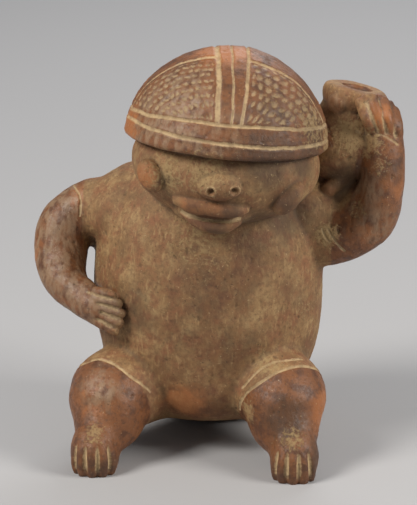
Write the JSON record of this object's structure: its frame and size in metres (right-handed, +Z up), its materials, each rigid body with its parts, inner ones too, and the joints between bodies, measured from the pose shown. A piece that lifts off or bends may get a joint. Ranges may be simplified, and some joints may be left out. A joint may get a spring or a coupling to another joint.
{
  "type": "pottery human figurine",
  "caption": "Fired clay figure of a squatting person in a domed cap, one hand on the hip, the other holding a small open jar on the shoulder; stands on its feet and seat.",
  "frame": {"origin": "on the ground, at the middle of the figure's outline seen from above", "axes": "+Z up, the figure faces -Y, its raised left arm and the jar are at +X"},
  "size_m": [0.1348, 0.0922, 0.15],
  "materials": {
    "fired_clay": "low-fired buff clay, part covered with burnished red slip, white clay rubbed into the cut lines"
  },
  "bodies": {
    "root": {"figurine": "fired_clay"}
  },
  "joints": []
}
